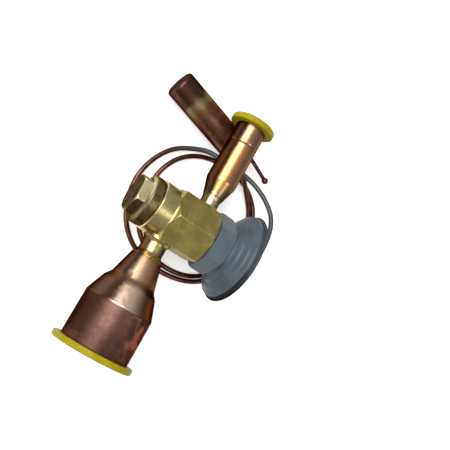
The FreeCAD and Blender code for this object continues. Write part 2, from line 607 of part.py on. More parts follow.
def bend_radii(points, largest):
    """Tangent-arc radius at each point: 0.45 of the shorter run beside it, up to the largest."""
    radii = [0.0]*len(points)
    for i in range(1, len(points) - 1):
        back, ahead = points[i - 1] - points[i], points[i + 1] - points[i]
        half = back.getAngle(ahead)/2
        radii[i] = min(largest, 0.45*min(back.Length, ahead.Length)*tan(half))
    return radii


def swept_tube(points, radius, largest=1000.0, solid=True):
    """Round tube along straight runs and tangent arcs, or only its skin."""
    path = rounded_path(points, bend_radii(points, largest))
    start = (points[1] - points[0]).normalize()
    section = Part.Wire(Part.makeCircle(radius, points[0], start))
    return path.makePipeShell([section], solid, False), path.Length


def end_ring(centre, direction, outer_r, inner_r):
    """Flat ring that closes the wall of a tube at one end."""
    rims = [Part.Wire(Part.makeCircle(r, centre, direction)) for r in (outer_r, inner_r)]
    return Part.Face(rims, "Part::FaceMakerBullseye")


def capillary_tube():
    """The capillary, drawn copper tube with a fine bore."""
    route = capillary_route()
    outer, length = swept_tube(route, CAPILLARY_R, solid=False)
    inner, _ = swept_tube(route, CAPILLARY_BORE_R, solid=False)
    ends = [end_ring(route[0], (route[1] - route[0]).normalize(), CAPILLARY_R, CAPILLARY_BORE_R),
            end_ring(route[-1], (route[-1] - route[-2]).normalize(), CAPILLARY_R, CAPILLARY_BORE_R)]
    skin = Part.Compound(outer.Faces + inner.Faces + ends)
    skin.sewShape()
    tube = Part.Solid(skin.Shells[0])
    if tube.Volume < 0:
        tube.reverse()
    section = pi*(CAPILLARY_R**2 - CAPILLARY_BORE_R**2)
    print("capillary length", round(length, 1), "volume ratio", round(tube.Volume/(section*length), 4))
    print("capillary radii", [round(r, 1) for r in bend_radii(route, 1000.0)[1:-1]])
    return tube


def fill_tube():
    """Short fill tube beside the capillary, pinched and brazed shut at its end."""
    _, along = bulb_place()
    start = bulb_side(-END_SPREAD)
    knee = start + along*FILL_TUBE_LENGTH*0.42
    turn = radians(BULB_TURN + 9)
    end = knee + V(sin(turn), cos(turn), 0)*FILL_TUBE_LENGTH*0.58
    tube, _ = swept_tube([start - along*2.0, knee, end], FILL_TUBE_R, 40)
    blob = Part.makeSphere(FILL_BLOB_R, end)
    return tube.fuse(blob)


def build():
    """All pieces by node name, in the valve's own place."""
    return {
        "valve_body": valve_body(),
        "outlet_nipple": outlet_nipple(),
        "outlet_reducer": outlet_reducer(),
        "outlet_dust_plug": dust_plug(X, 0, OUTLET_REACH, OUTLET_SOCKET_R, OUTLET_FLANGE_R,
                                      OUTLET_FLANGE_T, OUTLET_PLUG_DEPTH),
        "inlet_nipple": inlet_nipple(),
        "inlet_tube": inlet_tube(),
        "inlet_strainer": inlet_strainer(),
        "inlet_dust_plug": dust_plug(INLET_WAY, INLET_Y, INLET_REACH, INLET_SOCKET_R, INLET_FLANGE_R,
                                     INLET_FLANGE_T, INLET_PLUG_DEPTH),
        "seal_cap": seal_cap(),
        "cap_gasket": cap_gasket(),
        "stem_gland": stem_gland(),
        "stem_o_ring": stem_o_ring(),
        "adjusting_stem": adjusting_stem(),
        "spring_seat": spring_seat(),
        "superheat_spring": superheat_spring(),
        "pin_carrier": pin_carrier(),
        "valve_pin": valve_pin(),
        "valve_seat": valve_seat(),
        "push_rod_upper": push_rod(1),
        "push_rod_lower": push_rod(-1),
        "buffer_plate": buffer_plate(),
        "diaphragm": diaphragm(),
        "element_gasket": element_gasket(),
        "element_collar": element_collar(),
        "element_lower_cover": element_lower_cover(),
        "element_upper_cover": element_upper_cover(),
        "capillary_boss": capillary_boss(),
        "capillary_tube": capillary_tube(),
        "bulb_shell": bulb_shell(),
        "bulb_end_plug": bulb_end_plug(),
        "fill_tube": fill_tube(),
    }


def main():
    pieces = build()
    box = FreeCAD.BoundBox()
    for shape in pieces.values():
        box.add(shape.optimalBoundingBox(False))
    to_origin = V(-box.Center.x, -box.Center.y, 0)
    print("origin in the valve's place", round(-to_origin.x, 4), round(-to_origin.y, 4),
          "axis height", round(AXIS_Z, 4))
    os.makedirs("parts", exist_ok=True)
    for name, shape in pieces.items():
        placed = shape.translated(to_origin)
        print(f"{name:22s} valid {placed.isValid()} solids {len(placed.Solids)} volume {placed.Volume:.1f}")
        placed.exportStep("parts/" + name + ".step")


main()
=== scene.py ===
"""Looks of the thermostatic expansion valve: its finishes, its braze and its long capillary."""
import math

import bpy
from mathutils import Matrix, Vector, noise


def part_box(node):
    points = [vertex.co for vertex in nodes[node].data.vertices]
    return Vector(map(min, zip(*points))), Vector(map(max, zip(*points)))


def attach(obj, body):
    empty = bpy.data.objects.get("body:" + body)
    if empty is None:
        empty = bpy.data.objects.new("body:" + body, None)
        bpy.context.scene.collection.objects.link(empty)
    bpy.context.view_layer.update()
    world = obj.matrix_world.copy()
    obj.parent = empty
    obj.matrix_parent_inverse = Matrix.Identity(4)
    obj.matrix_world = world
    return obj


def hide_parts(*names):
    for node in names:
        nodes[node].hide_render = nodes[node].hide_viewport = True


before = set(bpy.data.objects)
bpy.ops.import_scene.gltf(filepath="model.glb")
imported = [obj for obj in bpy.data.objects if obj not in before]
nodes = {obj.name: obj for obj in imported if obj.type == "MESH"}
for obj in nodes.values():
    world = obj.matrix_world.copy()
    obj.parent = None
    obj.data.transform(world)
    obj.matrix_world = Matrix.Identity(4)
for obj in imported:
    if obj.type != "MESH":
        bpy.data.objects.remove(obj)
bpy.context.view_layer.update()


def middle(node):
    lo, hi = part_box(node)
    return (lo + hi)/2


# The valve's own place, in mm: its axis at x = 0, the outlet's axis at y = 0, the bench at z = 0.
# The outlet points along +x and the element along +y.
OX = middle("diaphragm").x*1000
OY = middle("outlet_reducer").y*1000
AXIS_Z = middle("outlet_reducer").z*1000
INLET_Y = middle("inlet_tube").y*1000 - OY
X, Y = Vector((1, 0, 0)), Vector((0, 1, 0))
OUTWARD = (1, 0, 0)
TO_ELEMENT = (0, 1, 0)
TO_CAP = (0, -1, 0)
UPWARD = (0, 0, 1)

# Places where a finish changes, in mm
CAP_HEXAGON_Y = -18.2
CAP_SHOULDER_Y = -16.0
BODY_THREAD_Y = -11.1
ROUND_PART_Y = -3.15
RIM_Y = 34.5
GROOVE_X = 32.6
SHOULDER_X = 33.5
SOCKET_X = 44.3
STOP_LINE_X = -45.0
KNOCK = (30.4, -6.4, AXIS_Z + 8.0)
PAINT_END = 93.0  # along the capillary
BULB_END = Vector((-47.28, 16.0, 7.1))  # middle of the bulb's capillary end
BULB_TURN = math.radians(13)
BULB_WAY = Vector((math.sin(BULB_TURN), math.cos(BULB_TURN), 0))

DULL_RIM = (0.12, 0.09, 0.07, 1)  # oxide keeps grazing light from going white
FLOOR_GLOW = 0.45
FLOOR_REACH = 3.0
WORLD_LIGHT = 0.35
LAMP_AIM = Vector((0, 0, 0.01))
LAMP_DISTANCE = 1.1
LAMPS = [  # name, direction from the valve, width, height, power
    ("key", (-0.12, -0.52, 0.85), 0.8, 0.7, 14),
    ("over", (0.18, 0.42, 0.9), 0.3, 0.3, 1.4),
    ("side", (0.46, -0.42, 0.82), 0.35, 0.35, 1.8)]


def at(x, y, z):
    """From the valve's place in mm to the scene in metres."""
    return Vector(((x + OX)/1000, (y + OY)/1000, z/1000))


def aim_camera():
    """The camera of the photograph, as fitted to the outlines."""
    camera = bpy.data.objects.new("camera", bpy.data.cameras.new("camera"))
    bpy.context.scene.collection.objects.link(camera)
    camera.data.lens = 51.6
    camera.data.sensor_width = 36
    camera.data.clip_start = 0.01
    right = Vector((-0.47950, 0.75774, 0.44261))
    up = Vector((-0.85465, -0.51770, -0.03958))
    back = Vector((0.19915, -0.39726, 0.89584))
    turn = Matrix((right, up, back)).transposed().to_4x4()
    camera.matrix_world = Matrix.Translation(at(47.67, -91.39, AXIS_Z + 261.0)) @ turn
    bpy.context.scene.camera = camera


class Finish:
    """A node material being put together; positions are in the valve's place, in mm."""

    def __init__(self, name, **constants):
        self.material = bpy.data.materials.new(name)
        self.material.use_nodes = True
        self.tree = self.material.node_tree
        self.tree.nodes.clear()
        self.out = self.add("ShaderNodeOutputMaterial")
        self.shader = self.add("ShaderNodeBsdfPrincipled")
        self.tree.links.new(self.shader.outputs[0], self.out.inputs[0])
        for key, value in constants.items():
            self.shader.inputs[key.replace("_", " ")].default_value = value
        coordinates = self.add("ShaderNodeTexCoord")
        self.normal = coordinates.outputs["Normal"]
        scaled = self.add("ShaderNodeVectorMath", operation="MULTIPLY_ADD")
        self.tree.links.new(coordinates.outputs["Object"], scaled.inputs[0])
        scaled.inputs[1].default_value = (1000, 1000, 1000)
        scaled.inputs[2].default_value = (-OX, -OY, 0)
        self.p = scaled.outputs[0]
        split = self.add("ShaderNodeSeparateXYZ")
        self.tree.links.new(self.p, split.inputs[0])
        self.x, self.y, self.z = split.outputs

    def add(self, kind, **settings):
        node = self.tree.nodes.new(kind)
        for key, value in settings.items():
            setattr(node, key, value)
        return node

    def put(self, socket, value):
        if isinstance(value, bpy.types.NodeSocket):
            self.tree.links.new(value, socket)
        elif isinstance(value, tuple) and len(value) == 3 and socket.type == "RGBA":
            socket.default_value = (*value, 1)
        else:
            socket.default_value = value

    def math(self, operation, a, b=0.0, clamp=False):
        node = self.add("ShaderNodeMath", operation=operation, use_clamp=clamp)
        self.put(node.inputs[0], a)
        self.put(node.inputs[1], b)
        return node.outputs[0]

    def plus(self, a, b):
        return self.math("ADD", a, b)

    def times(self, a, b):
        return self.math("MULTIPLY", a, b)

    def stray(self, grain, reach):
        """A grain drawn round 0, reach wide."""
        return self.times(self.math("SUBTRACT", grain, 0.5), reach)

    def vector(self, operation, a, b=(0, 0, 0)):
        node = self.add("ShaderNodeVectorMath", operation=operation)
        self.put(node.inputs[0], a)
        self.put(node.inputs[1], b)
        return node.outputs["Value" if operation in ("DOT_PRODUCT", "DISTANCE") else 0]

    def facing(self, way):
        """How far the surface faces a direction of its own piece: 1 along it, -1 against it."""
        return self.vector("DOT_PRODUCT", self.normal, way)

    def mix(self, share, a, b):
        node = self.add("ShaderNodeMix", data_type="RGBA", blend_type="MIX")
        for socket, value in zip((node.inputs[0], node.inputs[6], node.inputs[7]), (share, a, b)):
            self.put(socket, value)
        return node.outputs[2]

    def over(self, colour, tone, mask, share=1.0):
        """The colour with a tone laid over it where the mask is 1, as thick as the share."""
        return self.mix(mask if share == 1.0 else self.times(mask, share), colour, tone)

    def span(self, value, low, high, a=0.0, b=1.0, soft=True):
        """value's place between low and high, turned into a to b."""
        node = self.add("ShaderNodeMapRange")
        if soft:
            node.interpolation_type = "SMOOTHSTEP"
        for socket, entry in zip(node.inputs, (value, low, high, a, b)):
            self.put(socket, entry)
        return node.outputs[0]

    def band(self, value, centre, half, soft):
        """1 within half of the centre, falling to 0 over soft."""
        away = self.math("ABSOLUTE", self.math("SUBTRACT", value, centre))
        return self.span(away, half, half + soft, 1.0, 0.0)

    def grain(self, per_mm, detail=3.0, stretch=(1, 1, 1), shift=0.0, rough=0.5):
        """Noise with per_mm patches to the millimetre; a bigger stretch makes them shorter that way."""
        place = self.add("ShaderNodeVectorMath", operation="MULTIPLY_ADD")
        self.put(place.inputs[0], self.p)
        place.inputs[1].default_value = stretch
        place.inputs[2].default_value = (shift, shift*1.7, -shift)
        node = self.add("ShaderNodeTexNoise")
        self.put(node.inputs["Vector"], place.outputs[0])
        node.inputs["Scale"].default_value = per_mm
        node.inputs["Detail"].default_value = detail
        node.inputs["Roughness"].default_value = rough
        return node.outputs[0]

    def two_tone(self, grain, low, high, start=0.35):
        """The two colours of a cloudy surface."""
        return self.mix(self.span(grain, start, 1 - start), low, high)

    def rounded_normal(self, reach):
        """Normals that run round sharp edges within reach mm of them."""
        bevel = self.add("ShaderNodeBevel", samples=6)
        bevel.inputs["Radius"].default_value = reach/1000
        return bevel.outputs[0]

    def edges(self, reach, gain):
        """1 on sharp edges, within reach mm of them."""
        flat_normal = self.add("ShaderNodeNewGeometry").outputs["Normal"]
        turned = self.vector("DOT_PRODUCT", self.rounded_normal(reach), flat_normal)
        return self.math("MULTIPLY", self.math("SUBTRACT", 1.0, turned), gain, clamp=True)

    def relief(self, height, depth, soft_edge=0.0):
        """Bump of depth mm, on normals that run round the edges within soft_edge mm."""
        bump = self.add("ShaderNodeBump")
        bump.inputs["Distance"].default_value = depth/1000
        self.put(bump.inputs["Height"], height)
        if soft_edge:
            self.tree.links.new(self.rounded_normal(soft_edge), bump.inputs["Normal"])
        self.tree.links.new(bump.outputs[0], self.shader.inputs["Normal"])

    def looks(self, colour, roughness, metallic=None):
        self.put(self.shader.inputs["Base Color"], colour)
        self.put(self.shader.inputs["Roughness"], roughness)
        if metallic is not None:
            self.put(self.shader.inputs["Metallic"], metallic)
        return self.material

    def round_about(self, on_axis):
        """Where a point lies round an axis along x: from -1 at the cap's side to 1 at the element's."""
        arm = self.vector("MULTIPLY", self.vector("SUBTRACT", self.p, on_axis), (0, 1, 1))
        return self.vector("DOT_PRODUCT", self.vector("NORMALIZE", arm), TO_ELEMENT)


def brass_body():
    """Drawn hexagon bar, turned on the cap side, with the cap's thread on its end."""
    f = Finish("brass_body", Metallic=1.0)
    cloud = f.grain(0.16, 4, shift=3.0)
    fine = f.grain(2.2, 3)
    drawn = f.grain(1.6, 2, stretch=(1, 0.05, 1), shift=7.0)
    turned = f.grain(2.4, 2, stretch=(0.02, 1, 0.02), shift=5.0)
    round_part = f.span(f.y, ROUND_PART_Y - 0.25, ROUND_PART_Y + 0.25, 1.0, 0.0)
    lines = f.plus(f.times(turned, round_part), f.times(drawn, f.math("SUBTRACT", 1.0, round_part)))
    colour = f.two_tone(cloud, (0.40, 0.325, 0.09), (0.52, 0.43, 0.135))
    colour = f.over(colour, (0.33, 0.26, 0.085), f.span(lines, 0.35, 0.7, 0.0, 0.35))
    colour = f.over(colour, (0.66, 0.61, 0.34), round_part, 0.4)
    colour = f.over(colour, (0.25, 0.17, 0.055), f.span(f.grain(0.42, 4, shift=21.0), 0.6, 0.7), 0.5)
    colour = f.over(colour, (0.78, 0.72, 0.42), f.edges(0.4, 8.0), 0.6)
    threaded = f.span(f.y, BODY_THREAD_Y - 0.1, BODY_THREAD_Y + 0.1, 1.0, 0.0)
    thread = f.times(f.math("PINGPONG", f.y, 0.75), threaded)
    height = f.plus(f.plus(f.times(fine, 0.5), lines), f.times(thread, 24.0))
    f.relief(height, 0.022, 0.3)
    rough = f.span(f.plus(fine, cloud), 0.6, 1.4, 0.34, 0.46, soft=False)
    return f.looks(colour, f.math("SUBTRACT", rough, f.times(round_part, 0.08)))


def brass_cap():
    """Stained brown; the wrench faces rubbed bright and lightened as painted light, a painted highlight
    on the shoulder behind them, painted shade on the end face and the side towards the outlet.
    """
    f = Finish("brass_cap", Metallic=1.0, Specular_Tint=DULL_RIM)
    cloud = f.grain(0.3, 4, shift=11.0)
    turned = f.grain(2.0, 2, stretch=(0.03, 1, 0.03), shift=2.0)
    colour = f.two_tone(cloud, (0.165, 0.115, 0.045), (0.26, 0.19, 0.08))
    colour = f.over(colour, (0.14, 0.095, 0.04), f.span(turned, 0.4, 0.7, 0.0, 0.4))
    # wrench faces lightened in patches: partly rubbed wear, partly painted light
    wear_and_sheen = f.span(f.grain(0.45, 3, shift=41.0), 0.2, 0.36)
    faces = f.times(f.band(f.y, CAP_HEXAGON_Y, 1.6, 0.5), wear_and_sheen)
    colour = f.over(colour, (0.92, 0.84, 0.44), faces, 0.9)
    # painted highlight on the shoulder behind the hexagon, on the side away from the outlet
    shoulder = f.times(f.band(f.y, CAP_SHOULDER_Y, 0.3, 0.4), f.span(f.x, 2.0, -3.0))
    colour = f.over(colour, (0.92, 0.84, 0.5), shoulder, 0.8)
    # painted shade: darker on the end face, and near black on the side towards the outlet
    end_face_shade = f.mix(cloud, (0.155, 0.128, 0.078), (0.225, 0.19, 0.12))
    colour = f.over(colour, end_face_shade, f.span(f.facing(TO_CAP), 0.8, 0.95), 0.93)
    on_collar = f.span(f.y, CAP_SHOULDER_Y - 0.4, CAP_SHOULDER_Y + 0.2)
    painted_shade = f.mix(on_collar, (0.035, 0.022, 0.009), (0.17, 0.12, 0.048))
    colour = f.over(colour, painted_shade, f.span(f.facing(OUTWARD), 0.3, 0.7), 0.88)
    # edges rubbed bright, with painted shade taking most of it off on the side towards the outlet
    worn = f.times(f.edges(0.45, 9.0), f.span(f.x, 0.0, 5.0, 0.75, 0.12))
    colour = f.over(colour, (0.86, 0.8, 0.53), worn)
    f.relief(f.plus(turned, f.times(f.grain(2.6), 0.4)), 0.02, 0.35)
    return f.looks(colour, f.span(cloud, 0.3, 0.7, 0.3, 0.42))


def neck_brass():
    """Turned nipples: bright brass at the body, warmed and stained towards the braze."""
    f = Finish("neck_brass", Metallic=1.0, Specular_Tint=DULL_RIM)
    reach = f.math("ABSOLUTE", f.x)
    on_axis = f.add("ShaderNodeCombineXYZ")
    f.put(on_axis.inputs[1], f.span(f.x, -0.1, 0.1, INLET_Y, 0.0))
    on_axis.inputs[2].default_value = AXIS_Z
    side = f.round_about(on_axis.outputs[0])
    cloud = f.grain(0.35, 3, shift=4.0)
    heat = f.span(f.plus(reach, f.times(cloud, 5.0)), 17.0, 23.0)
    bare = f.mix(f.span(f.x, -0.1, 0.1), (0.72, 0.64, 0.36), (0.58, 0.47, 0.17))
    colour = f.mix(heat, bare, (0.55, 0.35, 0.16))
    # painted shade: darker on the side towards the element, near black on the cap's side
    colour = f.over(colour, (0.23, 0.18, 0.07), f.span(side, -0.2, 0.5, 0.0, 0.7))
    colour = f.over(colour, (0.07, 0.038, 0.016), f.span(side, -0.5, -0.85, 0.0, 0.93))
    at_body = f.span(reach, 12.0, 13.2, 1.0, 0.0)
    colour = f.over(colour, (0.25, 0.2, 0.085), at_body, 0.7)
    turned = f.grain(2.4, 2, stretch=(1, 0.03, 0.03), shift=9.0)
    f.relief(turned, 0.02, 0.2)
    return f.looks(colour, f.span(turned, 0.3, 0.7, 0.24, 0.36))


def outlet_copper():
    """Swaged copper: golden at the braze, bare on the steps, brown oxide on the turned socket, painted
    shade down both flanks.
    """
    f = Finish("outlet_copper", Metallic=1.0, Specular_Tint=DULL_RIM)
    cloud = f.grain(0.13, 4, shift=6.0)
    spots = f.grain(0.55, 4, shift=1.0)
    side = f.plus(f.round_about((0, 0, AXIS_Z)), f.stray(spots, 0.12))
    x = f.plus(f.x, f.stray(cloud, 5.0))
    colour = f.mix(f.span(x, 20.5, 25.0), (0.47, 0.28, 0.12), (0.64, 0.40, 0.25))
    colour = f.over(colour, (0.37, 0.17, 0.085), f.span(spots, 0.5, 0.72), 0.35)
    # the bare shoulder lighter; painted shade towards the element, orange-brown and near black on the
    # shoulder, and near black on the cap's side
    shoulder = f.span(f.x, SHOULDER_X - 1.5, SHOULDER_X + 1.5)
    colour = f.over(colour, (0.88, 0.62, 0.45), shoulder)
    element_side_shade = f.mix(shoulder, (0.42, 0.17, 0.075), (0.085, 0.022, 0.006))
    colour = f.over(colour, element_side_shade, f.span(side, -0.15, 0.4, 0.0, 0.92))
    cap_side_shade = f.span(f.plus(side, f.times(shoulder, -0.12)), -0.48, -0.76)
    colour = f.over(colour, (0.05, 0.021, 0.011), cap_side_shade, 0.94)
    colour = f.over(colour, (0.16, 0.08, 0.03), f.band(f.x, GROOVE_X, 0.7, 1.6), 0.55)
    # the socket's oxide starts at a clean line behind the last step
    oxide = f.two_tone(cloud, (0.105, 0.053, 0.044), (0.165, 0.085, 0.07), 0.3)
    rings = f.grain(1.5, 4, stretch=(1, 0.03, 0.03), shift=13.0, rough=0.6)
    oxide = f.over(oxide, (0.19, 0.10, 0.083), f.span(rings, 0.45, 0.7, 0.0, 0.35))
    oxide = f.over(oxide, (0.10, 0.045, 0.03), f.span(f.grain(0.17, 4, shift=51.0), 0.42, 0.62), 0.45)
    # painted shade: near black on the cap's side of the socket
    oxide = f.over(oxide, (0.04, 0.017, 0.011), f.span(side, -0.5, -0.88, 0.0, 0.85))
    # red patches on the side towards the element, partly painted light on that flank; orange by the
    # flange on the cap's side; painted shade over the middle band near the mouth, and darker all round
    # towards the mouth
    wear_and_sheen = f.times(f.span(side, -0.1, 0.4), f.span(f.grain(0.2, 3, shift=31.0), 0.42, 0.6))
    oxide = f.over(oxide, (0.45, 0.17, 0.10), wear_and_sheen, 0.75)
    near_mouth = f.times(f.span(f.plus(f.x, f.times(spots, 6.0)), 62.8, 66.5), f.span(side, -0.25, -0.6))
    oxide = f.over(oxide, (0.26, 0.10, 0.042), near_mouth, 0.5)
    painted_shade = f.times(f.span(f.plus(f.x, f.times(cloud, 8.0)), 55.0, 62.0), f.band(side, -0.15, 0.3, 0.25))
    oxide = f.over(oxide, (0.05, 0.023, 0.018), painted_shade, 0.6)
    oxide = f.over(oxide, (0.06, 0.03, 0.026), f.span(f.x, 56.0, 64.0, 0.0, 0.45))
    socket = f.span(f.x, SOCKET_X - 0.3, SOCKET_X + 0.2)
    colour = f.over(colour, oxide, socket)
    colour = f.over(colour, (0.08, 0.035, 0.02), f.band(f.x, SOCKET_X, 0.12, 0.35), 0.7)
    # one shallow knock near the middle of the first step
    dent = f.span(f.vector("DISTANCE", f.p, KNOCK), 0.0, 2.6, -1.0, 0.0)
    height = f.plus(f.times(rings, f.plus(f.times(socket, 0.45), 0.1)),
                    f.times(f.grain(0.5, 3, shift=17.0), 0.5))
    f.relief(f.plus(height, f.times(dent, 6.0)), 0.045, 0.15)
    return f.looks(colour, f.plus(f.span(spots, 0.35, 0.7, 0.29, 0.37), f.times(socket, 0.16)))


def inlet_copper():
    """Drawn copper: golden at the taper, bare along the top, painted shade on both sides: brown towards
    the element, near black towards the cap.
    """
    f = Finish("inlet_copper", Metallic=1.0, Specular_Tint=DULL_RIM)
    cloud = f.grain(0.22, 4, shift=16.0)
    spots = f.grain(0.7, 4, shift=27.0)
    side = f.plus(f.round_about((0, INLET_Y, AXIS_Z)), f.stray(cloud, 0.15))
    reach = f.plus(f.times(f.x, -1.0), f.times(cloud, 5.0))
    colour = f.mix(f.span(reach, 20.0, 29.0), (0.50, 0.36, 0.16), (0.70, 0.31, 0.11))
    colour = f.over(colour, (0.53, 0.275, 0.155), f.span(reach, 42.0, 52.0))
    drawn = f.grain(1.2, 3, stretch=(0.05, 1, 1), shift=8.0)
    colour = f.over(colour, (0.42, 0.22, 0.09), f.span(drawn, 0.45, 0.75, 0.0, 0.35))
    colour = f.over(colour, (0.30, 0.135, 0.06), f.span(spots, 0.56, 0.72), 0.35)
    # painted shade: brown on the side towards the element, near black on the cap's side
    colour = f.over(colour, (0.27, 0.17, 0.12), f.span(side, -0.2, 0.4, 0.0, 0.85))
    colour = f.over(colour, (0.045, 0.018, 0.008), f.span(side, -0.5, -0.74, 0.0, 0.95))
    colour = f.over(colour, (0.16, 0.07, 0.03), f.band(f.x, STOP_LINE_X, 0.1, 0.45), 0.6)
    f.relief(f.plus(drawn, f.times(f.grain(0.6, 3, shift=3.0), 0.6)), 0.007, 0.15)
    return f.looks(colour, f.span(spots, 0.3, 0.7, 0.27, 0.35))


def bulb_copper():
    """Bulb copper with the tints that brazing left: a greenish straw band and a purple end."""
    f = Finish("bulb_copper", Metallic=1.0, Specular_Tint=DULL_RIM)
    way = tuple(BULB_WAY)
    along = f.math("SUBTRACT", BULB_END.dot(BULB_WAY), f.vector("DOT_PRODUCT", f.p, way))
    cloud = f.grain(0.16, 4, shift=12.0)
    along = f.plus(along, f.stray(cloud, 9.0))
    red = f.two_tone(f.grain(0.3, 3, shift=5.0), (0.14, 0.058, 0.032), (0.21, 0.095, 0.057))
    colour = f.over(red, (0.22, 0.095, 0.034), f.span(along, 20.0, 25.0))
    colour = f.over(colour, (0.24, 0.21, 0.085), f.span(along, 24.0, 28.0))
    colour = f.over(colour, (0.073, 0.036, 0.026), f.span(along, 28.5, 32.5))
    colour = f.over(colour, (0.10, 0.04, 0.028), f.span(along, 37.0, 42.0))
    scratches = f.grain(1.0, 2, stretch=(1, 0.06, 1), shift=15.0)
    colour = f.over(colour, (0.33, 0.19, 0.13), f.span(scratches, 0.5, 0.75, 0.0, 0.25))
    # painted shade: darker along both flanks, where the surface turns away from the top
    colour = f.over(colour, (0.095, 0.044, 0.03), f.span(f.facing(UPWARD), 0.5, 0.05, 0.0, 0.8))
    f.relief(f.plus(scratches, f.grain(0.5, 3)), 0.025)
    return f.looks(colour, f.span(cloud, 0.3, 0.7, 0.32, 0.42))


def capillary_finish():
    """Painted grey with the element for its first part, then bare drawn copper."""
    f = Finish("capillary_finish")
    along = f.add("ShaderNodeAttribute", attribute_name="along").outputs["Fac"]
    cloud = f.grain(0.25, 3, shift=2.0)
    along = f.plus(along, f.stray(cloud, 14.0))
    paint = f.span(along, PAINT_END - 7.0, PAINT_END + 7.0, 1.0, 0.0)
    copper = f.two_tone(cloud, (0.095, 0.034, 0.023), (0.16, 0.068, 0.05))
    copper = f.over(copper, (0.10, 0.04, 0.03), f.span(f.grain(0.9, 3, shift=8.0), 0.5, 0.7), 0.45)
    grey = f.two_tone(f.grain(0.5, 3, shift=4.0), (0.036, 0.036, 0.035), (0.05, 0.049, 0.047), 0.3)
    f.relief(f.grain(1.1, 3), 0.03)
    rough = f.plus(f.times(paint, 0.1), 0.3)
    return f.looks(f.mix(paint, copper, grey), rough, f.math("SUBTRACT", 1.0, paint))


def plain_copper(name, low, high, rough=0.34):
    f = Finish(name, Metallic=1.0, Specular_Tint=DULL_RIM)
    cloud = f.grain(0.5, 4, shift=6.0)
    f.relief(f.grain(1.6, 3, shift=2.0), 0.02)
    return f.looks(f.two_tone(cloud, low, high), f.span(cloud, 0.3, 0.7, rough - 0.05, rough + 0.07))


def grey_paint(name, gloss):
    """Dusty paint with worn edges; painted shade darkens the rim's flank, most on the outlet's side."""
    f = Finish(name, Specular_IOR_Level=gloss)
    cloud = f.grain(0.12, 4, shift=9.0)
    peel = f.grain(0.9, 2, shift=14.0)
    colour = f.two_tone(cloud, (0.053, 0.071, 0.089), (0.072, 0.092, 0.112))
    colour = f.over(colour, (0.13, 0.145, 0.155), f.span(f.grain(0.35, 5, shift=19.0), 0.56, 0.8), 0.25)
    worn = f.times(f.edges(0.3, 5.0), f.span(f.grain(0.5, 4, shift=33.0), 0.42, 0.62))
    colour = f.over(colour, (0.2, 0.215, 0.225), worn, 0.35)
    # painted shade: near black on the rim's flank, most on the outlet's side
    not_back = f.span(f.facing(TO_ELEMENT), 0.6, 0.2)
    painted_rim_shade = f.times(not_back, f.span(f.y, RIM_Y - 0.2, RIM_Y + 0.2))
    painted_rim_shade = f.times(painted_rim_shade, f.span(f.facing(OUTWARD), 0.0, 0.6, 0.35, 0.97))
    colour = f.over(colour, (0.008, 0.005, 0.005), painted_rim_shade)
    f.relief(f.plus(peel, f.times(f.grain(3.0, 2), 0.15)), 0.05, 0.5)
    return f.looks(colour, f.plus(f.span(cloud, 0.3, 0.7, 0.38, 0.5), f.times(painted_rim_shade, 0.4)))


def yellow_plastic():
    f = Finish("yellow_plastic", Subsurface_Weight=0.2, Subsurface_Scale=0.002, IOR=1.45,
               Subsurface_Radius=(1.0, 0.75, 0.12), Specular_IOR_Level=0.12)
    cloud = f.grain(0.2, 3, shift=3.0)
    colour = f.two_tone(cloud, (0.27, 0.215, 0.003), (0.34, 0.275, 0.006), 0.3)
    scuff = f.span(f.grain(1.1, 4, stretch=(1, 0.3, 1), shift=23.0), 0.6, 0.78)
    colour = f.over(colour, (0.45, 0.38, 0.05), scuff, 0.3)
    f.relief(f.plus(f.grain(0.6, 3), f.times(scuff, 0.3)), 0.05, 0.4)
    return f.looks(colour, f.span(cloud, 0.3, 0.7, 0.42, 0.56))


def machined(name, low, high, rough, thread=None):
    """Turned steel or brass inner pieces; thread is (from, to, pitch) in mm along y."""
    f = Finish(name, Metallic=1.0)
    turned = f.grain(3.0, 2, stretch=(0.03, 1, 0.03), shift=4.0)
    height = turned
    if thread:
        start, end, pitch = thread
        inside = f.times(f.span(f.y, start, start + 0.2), f.span(f.y, end - 0.2, end, 1.0, 0.0))
        height = f.plus(height, f.times(f.times(f.math("PINGPONG", f.y, pitch/2), inside), 16.0))
    f.relief(height, 0.02, 0.12)
    return f.looks(f.two_tone(f.grain(0.6, 3), low, high),
                   f.span(turned, 0.3, 0.7, rough - 0.06, rough + 0.06))


def soft_rubber():
    f = Finish("seal_rubber")
    cloud = f.grain(1.2, 3)
    f.relief(f.grain(4.0, 2), 0.02)
    return f.looks(f.two_tone(cloud, (0.018, 0.018, 0.019), (0.035, 0.034, 0.033), 0.3),
                   f.span(cloud, 0.3, 0.7, 0.5, 0.65))


def mesh_piece(name, verts, faces, material, body, along=None):
    mesh = bpy.data.meshes.new(name)
    mesh.from_pydata([tuple(v) for v in verts], [], faces)
    mesh.materials.append(material)
    mesh.polygons.foreach_set("use_smooth", [True]*len(mesh.polygons))
    if along:
        mesh.attributes.new("along", "FLOAT", "POINT").data.foreach_set("value", along)
    piece = bpy.data.objects.new(name, mesh)
    bpy.context.scene.collection.objects.link(piece)
    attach(piece, body)
    return piece


